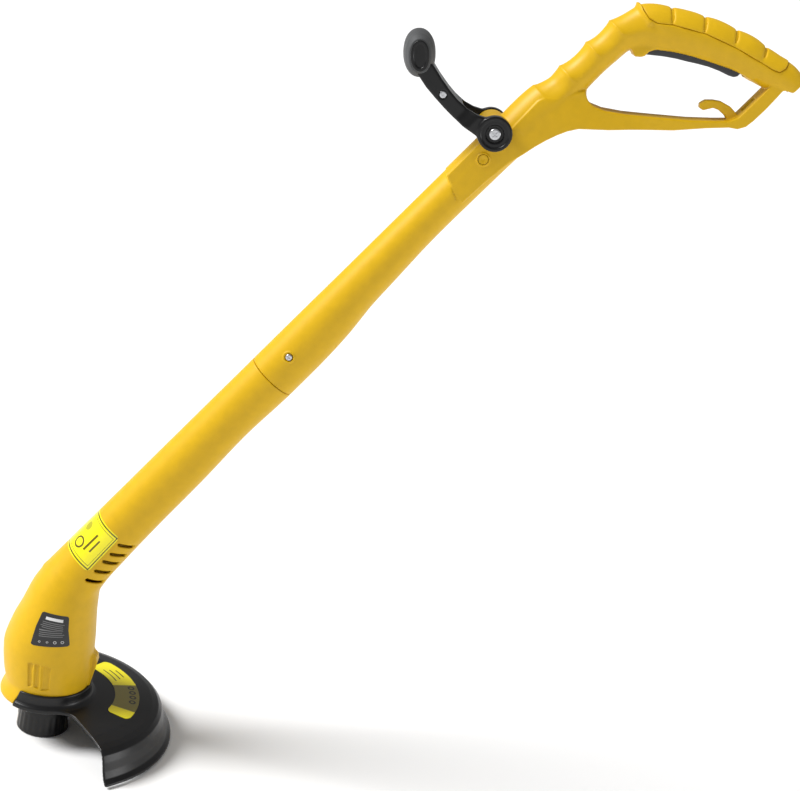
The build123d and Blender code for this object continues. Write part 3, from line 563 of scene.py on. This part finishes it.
HOOK = [(950, -44), (953.5, -36), (954, -26), (951, -16), (946.9, -10.1), (941.5, -4.6), (935.5, -3.0),
        (932.3, -5.7), (933.3, -9.7), (938.2, -12.7), (941.6, -14.8), (943.9, -20.2), (944.5, -28),
        (942, -40)]
PAD = [(958, 120), (957.8, 105.1), (954.9, 99.6), (953.1, 90.8), (955.8, 82.4), (965.4, 70.1),
       (973.7, 56.4), (981.6, 42.1), (988.0, 26.1), (993.9, 9.5), (998.9, -8.3), (1003.6, -25.6),
       (1006.5, -31.2), (1013, -33.4), (1034, -31), (1046, 60), (1000, 120)]
NOTCHES = [((982, 86), (964, 71)), ((999, 57), (978, 44)), ((1013, 27), (990, 15)), ((1023, -5), (999, -13))]
PIVOT = (780.0, 117.5)
TRIGGER = [(927.6, 69.6), (930.2, 66.2), (934.2, 61.2), (938.0, 56.6), (941.3, 52.2), (946.9, 44.2),
           (952.2, 35.4), (958.0, 26.4), (963.3, 17.4), (967.9, 7.4), (971.4, -2.4), (973.8, -6.6),
           (977.0, -8.7), (988, -8.5), (991.5, -3), (990, 3), (943.5, 74), (933, 77)]
HOOK_CHART = outline_chart(HOOK)
PAD_CHART = outline_chart(PAD)
TRIGGER_CHART = outline_chart(TRIGGER)
WINDOW_CHART = outline_chart([(924, 62), (930, 74), (936, 80), (953, 70), (993, 6), (993, -12), (978, -14)])


def upper_body(s, n, y):
    """Tube, neck and grip without the strut, before the bumps are cut."""
    d, a, b = UPPER.at(s, n)
    return oval(d, y, a, b, SQUARE)


def upper_bumps(s, n, y):
    """Body with the finger hollows on the neck and the ridge before the pad."""
    d, a, b = UPPER.at(s, n)
    body = oval(d, y, a, b, SQUARE)
    upside = ramp(d / a, -0.25, 0.45)
    dips = np.zeros_like(s + n)
    for s0, s1 in ((836, 865.5), (865.5, 898), (898, 927), (927, 956)):
        t = np.clip((s - s0) / (s1 - s0), 0, 1) + 0 * n
        dips = dips + np.where((t > 0) & (t < 1), np.sin(math.pi * t) ** 0.6, 0)
    keep = ramp(n + 0 * s, 60, 84)
    body = body + 2.9 * dips * upside * keep - 1.3 * upside * keep * ramp(s + 0 * n, 850, 862)
    ridge = segment(s, n, (957.5, 112), (951.5, 88)) + 0 * y
    return body - 2.2 * np.exp(-(ridge / 2.6) ** 2)


def upper_outer(s, n, y):
    body = upper_bumps(s, n, y)
    width = np.interp(s, *np.array(SLAB_WIDTH).T)
    slab = smax(SLAB_CHART(s, n), np.abs(y) - width, 1.6)
    corner = np.exp(-(((s - 863) / 10) ** 2 + ((n - 76) / 12) ** 2))
    start = (s - 712 - 0.42 * (n - 102)) * 0.92
    flat = np.maximum(20.0 - np.abs(y), np.maximum(-start, s - 798 + 0 * n))
    body = smax(body, -flat, 0.4)
    slab = np.maximum(slab, -start)
    body = smin(body, slab, 1.0 + 9.0 * corner)
    lip = smax(LIP_CHART(s, n), np.abs(y) - 12.5, 2.0)
    body = smin(body, lip, 3.0)
    knuckle = smax(np.hypot(s - PIVOT[0], n - PIVOT[1]) - 15.5, np.abs(y) - 24, 1.4)
    body = smin(body, knuckle, 1.6)
    hook = smax(HOOK_CHART(s, n) + 0.6, np.abs(y) - 4.5, 1.2) - 0.6
    body = smin(body, hook, 1.2)
    body = smax(body, 455.2 - s, 0.5)
    return smax(body, -55.5 - n, 1.6)


def upper_shell(s, n, y):
    core = upper_body(s, n, y)
    outer = upper_outer(s, n, y)
    pad = smax(PAD_CHART(s, n), -(core + 1.3), 0.2)
    outer = smax(outer, -pad, 0.35)
    cavity = smax(np.maximum(core, upper_bumps(s, n, y)) + WALL, 440 - s, 0.5)
    strut = smax(SLAB_CHART(s, n) + 2.6, np.abs(y) - np.interp(s, *np.array(SLAB_WIDTH).T) + 2.6, 1.0)
    strut = smax(strut, 820 - s, 1.0)
    cavity = np.minimum(cavity, strut)
    shell = smax(outer, -cavity, 0.3)
    window = smax(WINDOW_CHART(s, n) + 0.8, np.abs(y) - 8.0, 0.4)
    shell = smax(shell, -window, 0.5)
    slot = smax(np.maximum(np.abs(s - 967) - 8, np.abs(n + 42) - 12), np.abs(y) - 4.0, 0.6)
    shell = smax(shell, -slot, 0.6)
    shell = np.maximum(shell, -(smax(oval(s - 1003, y, 11.5, 13.4, 2.0), n + 22 + 0 * s, 0.2)))
    pivot = np.hypot(s - PIVOT[0], n - PIVOT[1])
    return smax(shell, -(pivot - 3.0 + 0 * y), 0.3)


def upper_left(s, n, y):
    shell = upper_shell(s, n, y)
    outer = upper_outer(s, n, y)
    r = np.hypot(s - TUBE_SCREW[0], n - TUBE_SCREW[1]) + 0 * y
    shell = smin(shell, smax(r - 6.0, np.abs(outer + 0.3) - 0.9, 0.6), 0.6)
    shell = smax(shell, -(r - 1.9), 0.2)
    shell = smax(shell, -smax(r - 4.4, y + 22.0, 0.3), 0.5)
    r = np.hypot(s - PLUG[0], n - PLUG[1]) + 0 * y
    shell = smin(shell, smax(np.abs(r - 5.7) - 0.7, np.abs(y + 20.6) - 0.8, 0.5), 0.4)
    shell = smax(shell, -(r - 5.1), 0.2)
    return smax(shell, y + SEAM, 0.45)


def upper_right(s, n, y):
    shell = right_bosses(upper_shell(s, n, y), upper_outer(s, n, y), UPPER_SCREWS, s, n, y)
    return smax(shell, SEAM - y, 0.45)


def pad_field(s, n, y):
    d, a, b = UPPER.at(s, n)
    core = oval(d, y, a, b, SQUARE)
    around = np.arctan2(np.abs(y), np.maximum(d, 0.01))
    cut = np.zeros_like(core)
    swell = np.zeros_like(d)
    for p, q in NOTCHES:
        away = segment(s, n, p, q)
        cut = cut + 1.45 * np.exp(-(away / 1.7) ** 2) * (1 - ramp(around, 0.8, 1.5))
        swell = swell + np.exp(-(away / 8.0) ** 2)
    outer = core - 0.9 + 0.9 * np.minimum(swell, 1.0) + cut
    body = smax(outer, -(core + 1.25), 0.3)
    return smax(body, PAD_CHART(s, n) + 0.55, 0.7)


finish_piece(solid("Upper_shell_left", upper_left, (454, -58, -25), (1032, 136, 1), STEP),
             "housing", "yellow_shell", "upper_shell_left")
finish_piece(solid("Upper_shell_right", upper_right, (454, -58, -1), (1032, 136, 25), STEP),
             "housing", "yellow_shell", "upper_shell_right")
finish_piece(solid("Grip_pad", pad_field, (950, -36, -20), (1030, 112, 20), 0.8 * COARSE),
             "housing", "soft_yellow", "grip_pad")


def plug_field(s, n, y):
    r = np.hypot(s - PLUG[0], n - PLUG[1]) + 0 * y
    top = -21.0 + 0.9 * np.exp(-(r / 2.6) ** 2)
    return smax(smax(r - 4.8, top - y, 0.5), y + 18.6, 0.3)


finish_piece(solid("Screw_plug", plug_field, (749, 100, -22), (761, 112, -18), 0.35 * COARSE),
             "housing", "yellow_shell", "screw_plug")


def trigger_field(s, n, y):
    body = smax(TRIGGER_CHART(s, n) + 0.3, np.abs(y) - 7.4, 1.8)
    return smax(body, -(np.hypot(s - 985, n + 1) - 2.05 + 0 * y), 0.2)


finish_piece(solid("Trigger", trigger_field, (925, -10, -8), (993, 78, 8), 0.7 * COARSE),
             "trigger_lever", "trigger_grey", "trigger")


# ------------------------------------------------------------------ labels
def rounded_grid(length, width, corner, taper, split):
    """Grid over a unit square pulled in at the corners, with its print coordinates."""
    t = 0.5 - 0.5 * np.cos(np.linspace(0, math.pi, split[0] + 1))
    gap = np.minimum(np.minimum(t, 1 - t) * length, corner)
    inset = (corner - np.sqrt(corner ** 2 - (corner - gap) ** 2)) / width
    across = (np.linspace(0, 1, split[1] + 1)[None, :] - 0.5) * (1 - 2 * inset[:, None])
    u = t[:, None] + 0 * across
    return u, 0.5 + across * (1 + taper * (0.5 - u)), np.stack([u.ravel(), 0.5 + across.ravel()], 1)


def film(outer, rows, span, corner, taper=0.0, thick=0.55, lift=0.2, split=(60, 60)):
    """A film laid on the skin: rows are (s, n) centre points, span the angles from straight up, over -Y."""
    rows = np.array(rows, float)
    length = np.hypot(*np.diff(rows, axis=0).T).sum()
    width = math.radians(span[1] - span[0]) * 29
    u, v, prints = rounded_grid(length, width, corner, taper, split)
    centre = np.stack([np.interp(u[:, 0], np.linspace(0, 1, len(rows)), rows[:, k]) for k in (0, 1)], 1)
    turns = np.radians(span[0] + (span[1] - span[0]) * v)
    along = np.gradient(centre, axis=0)
    along /= np.linalg.norm(along, axis=1)[:, None]
    up = np.stack([-along[:, 1], along[:, 0]], 1)
    ds = up[:, 0:1] * np.cos(turns)
    dn = up[:, 1:2] * np.cos(turns)
    dy = -np.sin(turns)
    lo, hi = np.full(ds.shape, 5.0), np.full(ds.shape, 70.0)
    for _ in range(26):
        mid = (lo + hi) / 2
        f = outer(centre[:, 0:1] + ds * mid, centre[:, 1:2] + dn * mid, dy * mid)
        lo, hi = np.where(f < 0, mid, lo), np.where(f < 0, hi, mid)
    layers = []
    for level in (lift, lift - thick):
        r = lo + level
        x, z = to_world(centre[:, 0:1] + ds * r, centre[:, 1:2] + dn * r)
        layers.append(np.stack([x, dy * r, z], -1).reshape(-1, 3))
    return layers, prints, split


def film_object(name, layers, prints, split):
    points = np.vstack(layers)
    nu, nv = split[0] + 1, split[1] + 1
    half = nu * nv
    index = np.arange(half).reshape(nu, nv)
    quad = np.stack([index[:-1, :-1], index[1:, :-1], index[1:, 1:], index[:-1, 1:]], -1).reshape(-1, 4)
    faces = [quad, quad[:, ::-1] + half]
    rim = np.concatenate([index[:, 0], index[-1, 1:], index[-2::-1, -1], index[0, -2:0:-1]])
    nxt = np.roll(rim, -1)
    faces.append(np.stack([nxt, rim, rim + half, nxt + half], 1))
    faces = np.vstack(faces)
    if face_sizes(points - points.mean(0), faces).sum() < 0:
        faces = faces[:, ::-1]
    obj = new_object(name, points, faces, smooth=False)
    layer = obj.data.uv_layers.new(name="label")
    flat = np.tile(prints, (2, 1))
    loops = np.empty(len(obj.data.loops), np.int32)
    obj.data.loops.foreach_get("vertex_index", loops)
    layer.data.foreach_set("uv", flat[loops].ravel())
    return obj


def noise_print():
    ink = Print("noise label print", (247, 236, 20))
    u, v = ink.place("UV")
    frame_out = ink.within(u, v, 0.5, 0.5, 0.475, 0.475)
    frame_in = ink.within(u, v, 0.5, 0.5, 0.445, 0.452)
    ink.ink(ink.minus(frame_out, frame_in), (92, 84, 10))
    frame_out = ink.within(u, v, 0.5, 0.5, 0.405, 0.42)
    frame_in = ink.within(u, v, 0.5, 0.5, 0.39, 0.41)
    ink.ink(ink.minus(frame_out, frame_in), (150, 138, 20))
    ink.ink(ink.disc(u, v, 0.66, 0.28, 0.0, 0.1), (178, 172, 30))
    ink.ink(ink.disc(u, v, 0.3, 0.42, 0.09, 0.13), (96, 84, 12))
    ink.ink(ink.within(u, v, 0.5, 0.62, 0.22, 0.022), (96, 84, 12))
    ink.ink(ink.within(u, v, 0.5, 0.74, 0.16, 0.018), (96, 84, 12))
    return ink.done()


def rating_print():
    ink = Print("rating label print", (22, 22, 23), 0.4)
    u, v = ink.place("UV")
    ink.ink(ink.within(u, v, 0.84, 0.5, 0.045, 0.3), (220, 220, 220))
    for i in range(8):
        row = 0.72 - 0.058 * i
        ink.ink(ink.within(u, v, row, 0.5 - 0.015 * (i % 3), 0.010, 0.36 - 0.03 * (i % 2)), (112, 112, 112))
    for i, r in enumerate((0.03, 0.03, 0.045, 0.045)):
        ink.ink(ink.disc(u, v, 0.14, 0.2 + 0.2 * i, r * 0.6, r), (190, 190, 190))
    return ink.done()


NOISE_ROWS = [(179.5, 93.2), (204.0, 93.6), (228.5, 94.1)]
RATING_ROWS = [to_shaft(x, z) for x, z in ((5.6, 115.8), (4.6, 133.0), (5.9, 149.8))]
finish_piece(film_object("Noise_label", *film(lower_outer, NOISE_ROWS, (-4, 99), 5.0)),
             "housing", "label_yellow", "noise_label", mat=noise_print())
finish_piece(film_object("Rating_label", *film(lower_outer, RATING_ROWS, (66, 112), 2.2, 0.24)),
             "housing", "label_black", "rating_label", mat=rating_print())

# ------------------------------------------------------------------ guard
# Outlines in radius and height about the motor axis, and the plan turns between which the plate runs.
GUARD_OUT = [(45.6, 58.0), (45.6, 51.5), (46.4, 48.0), (48.2, 45.4), (51.5, 43.8), (72, 42.2), (98, 40.0),
             (112, 37.6), (119, 35.2), (123.3, 31.0), (126, 24.0), (128.5, 15.0), (131.5, 8.0), (136.0, 4.5),
             (136.2, 2.2)]
GUARD_IN = [(133.6, 1.8), (129.3, 6.4), (126.1, 14.2), (123.5, 23.4), (121.0, 29.7), (118.0, 33.0),
            (111.5, 35.2), (98, 37.6), (43.4, 40.2), (43.4, 58.0)]
COLLAR = [(32, 36.5), (40.2, 36.5), (42.6, 39.4), (45.9, 41.2), (46.4, 44.2), (45.6, 47), (45.6, 58.0),
          (43.4, 58.0), (43.4, 40.0), (32, 40.0)]
GUARD_TURNS = (-51, 91)
PLATE_CHART = outline_chart(GUARD_OUT + GUARD_IN, 20, 0.4)
COLLAR_CHART = outline_chart(COLLAR, 30, 0.4)
RIB_CHART = outline_chart([(106, 37), (118, 34), (126.5, 14), (112, 14)], 30, 0.4)
FIN_CHART = outline_chart([(45, 37.5), (45, 41), (96, 38.4), (96, 35.6)], 30, 0.4)


def turned(x, y, low, high):
    """Signed distance outside a plan sector narrower than a half turn."""
    a, b = math.radians(low), math.radians(high)
    return np.maximum(x * math.sin(a) - y * math.cos(a), y * math.cos(b) - x * math.sin(b))


def guard_field(x, y, z):
    r = np.sqrt(x * x + y * y)
    plate = PLATE_CHART(r, z) + 0.35
    sector = turned(x, y, *GUARD_TURNS)
    wrap = collar_end(x, y, z)
    plan = smin(sector + 0 * z, smax(r - 48.8, wrap, 0.8), 18.0)
    plate = smax(plate, plan, 1.1) - 0.35
    collar = smax(COLLAR_CHART(r, z) + 0.3, wrap, 0.9) - 0.3
    body = smin(plate, collar, 1.2)
    rib = smax(RIB_CHART(r, z), turned(x, y, 89, 91) + 0 * z, 0.4)
    body = smin(body, rib, 0.8)
    for start in (-31, 19, 69):
        fin = smax(FIN_CHART(r, z), turned(x, y, start, start + 2) + 0 * z, 0.4)
        body = smin(body, fin, 0.6)
    return body


finish_piece(solid("Guard", guard_field, (-34, -108, 0), (138, 138, 60), 1.1 * STEP, tilted=False),
             "housing", "guard_black", "guard")


STICKER_TURNS = (-20, 60)
STICKER_REACH = (72.0, 98.0)


def sticker_film():
    """The printed arc on top of the guard, with rounded corners."""
    split = (70, 24)
    wide = STICKER_REACH[1] - STICKER_REACH[0]
    u, v, prints = rounded_grid(84.0, wide, 5.0, 0.0, split)
    turn = np.radians(STICKER_TURNS[0] + (STICKER_TURNS[1] - STICKER_TURNS[0]) * u)
    reach = STICKER_REACH[0] + wide * v
    top = np.interp(reach, STICKER_REACH, (42.5, 40.3))
    layers = [np.stack([reach * np.cos(turn), reach * np.sin(turn), top + lift], -1).reshape(-1, 3)
              for lift in (0.12, -0.5)]
    return layers, prints, split


def sticker_print():
    """Bands, rings and lines placed by turn (radians) and reach (metres) about the motor axis."""
    ink = Print("guard sticker print", (252, 240, 28))
    x, y = ink.place("Object")
    turn = ink.math("ARCTAN2", y, x)
    reach = ink.length(x, y)
    ink.ink(ink.within(turn, reach, 0.13, 0.085, 0.30, 0.02), (124, 116, 44))
    even = ink.math("MULTIPLY", reach, 11.0)
    for k in range(4):
        ink.ink(ink.disc(turn, even, 0.36 - 0.11 * k, 1.0, 0.020, 0.042), (40, 38, 16))
    for k in range(3):
        ink.ink(ink.within(turn, reach, 0.72, 0.079 + 0.006 * k, 0.17 - 0.04 * k, 0.0007), (70, 66, 20))
    return ink.done()


finish_piece(film_object("Guard_sticker", *sticker_film()), "housing", "label_yellow", "guard_sticker",
             mat=sticker_print())


# ------------------------------------------------------------------ spool cap
def cap_field(x, y, z):
    r = np.sqrt(x * x + y * y)
    skin = 27.1 - 1.5 * z / 28
    turn = np.arctan2(y, x)
    ribs = 0.35 * (0.5 + 0.5 * np.cos(turn * 24)) * ramp(z, 2, 5) * (1 - ramp(z, 20, 24))
    body = smax(smax(r - skin + ribs, -z + 0 * r, 1.2), z - 28 + 0 * r, 0.5)
    body = smax(body, -smax(smax(r - skin + 2.3, 2 - z, 0.5), z - 40, 0.5), 0.4)
    body = smax(body, -smax(r - 13.5, z - 6, 0.3), 0.4)
    hole = smax(np.hypot(y, z - 13) - 3.0, 20 - np.abs(x), 0.3)
    return smax(body, -hole, 0.4)


finish_piece(solid("Spool_cap", cap_field, (-28, -28, 0), (28, 28, 28), 0.7 * COARSE, tilted=False),
             "rotor", "black_plastic", "spool_cap")

# ------------------------------------------------------------------ auxiliary handle
ARM = [(766, 122), (766.5, 128), (765.5, 134), (763.6, 144), (763, 156), (763, 167), (763.6, 180),
       (764.6, 193), (767, 205), (772, 215), (782, 212), (783.5, 201), (780.5, 188), (778.2, 174),
       (777.4, 164), (778, 152), (780.5, 142), (785, 133), (790, 126)]
AUX_GRIP = (781.0, 217.5)
AUX_SCREW = (771.0, 177.0)
ARM_CHART = outline_chart(ARM)


def grip_axes(s, n):
    c = math.sqrt(0.5)
    return (s - AUX_GRIP[0]) * c + (n - AUX_GRIP[1]) * c, (n - AUX_GRIP[1]) * c - (s - AUX_GRIP[0]) * c


def aux_field(s, n, y):
    ay = np.abs(y)
    half_width = 34.5 - 5.5 * ramp(n, 138, 154)
    bar = smax(ARM_CHART(s, n), ay - half_width, 2.0)
    ear = smax(np.hypot(s - PIVOT[0], n - PIVOT[1]) - 16.5, ay - 36, 1.8)
    body = smin(bar, ear, 2.0)
    p, q = grip_axes(s, n)
    body = smin(body, smax(oval(p, q, 12.0, 7.0, 2.0), ay - 29.5, 0.5), 1.0)
    gap = smax(ay - 24.8, n - 156 + 0 * s, 6.0)
    body = smax(body, -gap, 0.8)
    r = np.hypot(s - PIVOT[0], n - PIVOT[1])
    dish = smax(r - 13.0, 35.0 - ay, 0.6)
    body = smax(body, -dish, 0.9)
    body = smax(body, -smax(r - 8.6, 33.0 - ay, 0.6), 0.9)
    return smax(body, -(r - 3.08 + 0 * y), 0.2)


def aux_left(s, n, y):
    body = aux_field(s, n, y)
    r = np.hypot(s - AUX_SCREW[0], n - AUX_SCREW[1]) + 0 * y
    body = smax(body, -(r - 1.6), 0.2)
    body = smax(body, -smax(r - 3.7, y + 27.4, 0.2), 0.4)
    return smax(body, y + SEAM, 0.5)


def aux_right(s, n, y):
    body = aux_field(s, n, y)
    body = smax(body, -smax(np.hypot(s - AUX_SCREW[0], n - AUX_SCREW[1]) - 1.6, y - 8, 0.2), 0.2)
    return smax(body, SEAM - y, 0.5)


def sleeve_field(s, n, y):
    p, q = grip_axes(s, n)
    ay = np.abs(y)
    a = np.interp(ay, [0, 12, 24, 31, 40], [22.0, 21.6, 19.6, 15.6, 12.0])
    b = np.interp(ay, [0, 12, 24, 31, 40], [15.2, 14.9, 13.4, 10.4, 8.0])
    body = smax(oval(p, q, a, b, 2.15), ay - 31, 1.6)
    strap = smax(ARM_CHART(s, n) - 0.15, ay - 29.1, 1.6)
    core = smax(oval(p, q, 12.0, 7.0, 2.0) - 0.1, ay - 29.6, 0.5)
    return smax(body, -np.minimum(strap, core), 0.4)


def end_caps(s, n, y):
    p, q = grip_axes(s, n)
    ay = np.abs(y)
    body = smax(oval(p, q, 14.2, 8.8, 2.1), np.abs(ay - 32.8) - 1.8, 1.0)
    return smax(body, -smax(oval(p, q, 11.0, 5.8, 2.1), 33.8 - ay, 0.7), 0.7)


finish_piece(solid("Aux_handle_left", aux_left, (761, 100, -37), (798, 236, 1), 0.8 * COARSE),
             "forward_handle", "black_plastic", "aux_handle_left")
finish_piece(solid("Aux_handle_right", aux_right, (761, 100, -1), (798, 236, 37), 0.8 * COARSE),
             "forward_handle", "black_plastic", "aux_handle_right")
finish_piece(solid("Aux_grip_sleeve", sleeve_field, (762, 198, -32), (800, 237, 32), 0.6 * COARSE),
             "forward_handle", "grey_grip", "aux_grip_sleeve")
finish_piece(solid("Aux_end_caps", end_caps, (766, 202, -35), (796, 233, 35), 0.5 * COARSE),
             "forward_handle", "black_plastic", "aux_end_caps")

# ------------------------------------------------------------------ carried-over nodes
slots = {row["node"]: row["material_slot"] for row in frame["record"]["subparts"]}
for node, obj in frame["nodes"].items():
    obj.data.materials.clear()
    obj.data.materials.append(MATS[slots[node]])

# ------------------------------------------------------------------ floor, light, camera
bpy.ops.mesh.primitive_plane_add(size=400, location=(0, 0, -0.0005))
floor = bpy.context.object
floor.name = "Floor"
floor_mat = bpy.data.materials.new("floor")
floor_mat.use_nodes = True
floor_shader = floor_mat.node_tree.nodes["Principled BSDF"]
floor_shader.inputs["Base Color"].default_value = (0.97, 0.97, 0.97, 1)
floor_shader.inputs["Roughness"].default_value = 0.9
floor.data.materials.append(floor_mat)

world = bpy.data.worlds.new("studio")
bpy.context.scene.world = world
world.use_nodes = True
sky = world.node_tree.nodes["Background"]
sky.inputs["Color"].default_value = (1, 1, 1, 1)
sky.inputs["Strength"].default_value = 0.30


def sun(name, direction, power, softness):
    """Even light from far away, travelling along direction."""
    light = bpy.data.lights.new(name, "SUN")
    light.energy = power
    light.angle = math.radians(softness)
    lamp = bpy.data.objects.new(name, light)
    bpy.context.scene.collection.objects.link(lamp)
    lamp.rotation_mode = "QUATERNION"
    lamp.rotation_quaternion = Vector(direction).to_track_quat("-Z", "Y")
    return lamp


sun("key", (0.80, 0.10, -0.78), 4.0, 24)
sun("rim", (-0.95, 0.20, -0.10), 0.8, 20)

camera_data = bpy.data.cameras.new("Camera")
camera_data.lens = 72.485
camera_data.sensor_width = 36.0
camera_data.clip_end = 500
camera = bpy.data.objects.new("Camera", camera_data)
bpy.context.scene.collection.objects.link(camera)
right = Vector((0.984372, -0.005533, 0.176022))
up = Vector((-0.166042, 0.303929, 0.938120))
back = -Vector((0.058689, 0.952684, -0.298260))
turn = Matrix((right, up, back)).transposed().to_4x4()
camera.matrix_world = Matrix.Translation((0.216721, -1.534558, 0.909726)) @ turn
bpy.context.scene.camera = camera
bpy.context.scene.view_settings.view_transform = "Standard"
